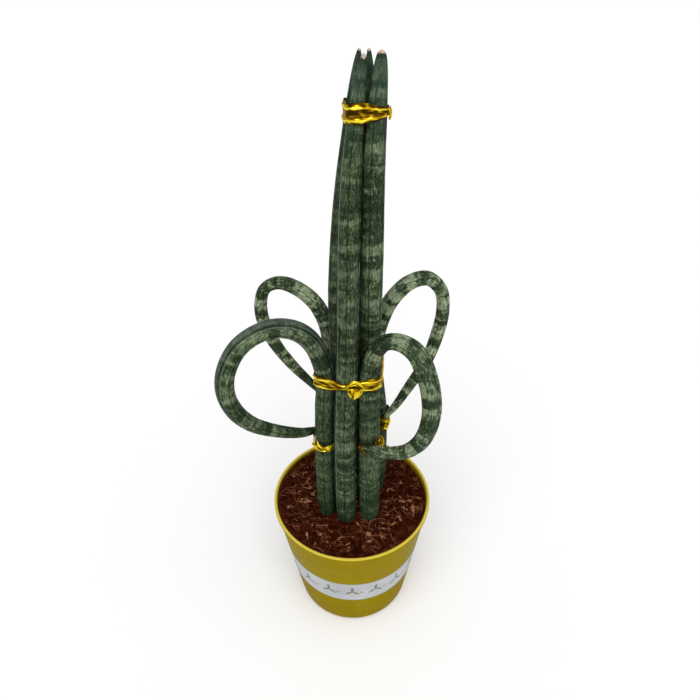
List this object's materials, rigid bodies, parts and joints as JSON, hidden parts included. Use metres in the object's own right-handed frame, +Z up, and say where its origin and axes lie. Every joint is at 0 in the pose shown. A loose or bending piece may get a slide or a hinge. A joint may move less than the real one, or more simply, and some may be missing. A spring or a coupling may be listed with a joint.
{
  "type": "cylindrical snake plant",
  "caption": "Potted cylindrical snake plant with upright leaves in the middle, looped leaves at the sides and gold foil twist ties, in a round flared pot with a pale band.",
  "frame": {"origin": "middle of the pot's underside, on the surface it stands on", "axes": "+Z up along the pot's axis, -Y towards the front, where the leaf loops spread to both sides, +X to the right seen from the front"},
  "size_m": [0.1642, 0.1304, 0.4445],
  "materials": {
    "pot_yellow": "glossy olive-mustard plastic",
    "band_white": "pale printed film, satin",
    "coir": "damp shredded coconut husk, matt",
    "rhizome": "orange-brown root, matt",
    "leaf": "grey-green, cross-banded, satin",
    "gold_foil": "crumpled gold foil, bright"
  },
  "bodies": {
    "root": {"pot": "pot_yellow", "label_band": "band_white", "soil": "coir", "rhizome": "rhizome", "leaf_front_centre": "leaf", "leaf_right": "leaf", "leaf_left": "leaf", "leaf_back": "leaf", "loop_front_left": "leaf", "loop_front_right": "leaf", "loop_back_left": "leaf", "loop_back_right": "leaf", "tie_middle": "gold_foil", "tie_top": "gold_foil", "tie_front_left": "gold_foil", "tie_front_right": "gold_foil", "tie_back_left": "gold_foil", "tie_back_right": "gold_foil"}
  },
  "joints": []
}
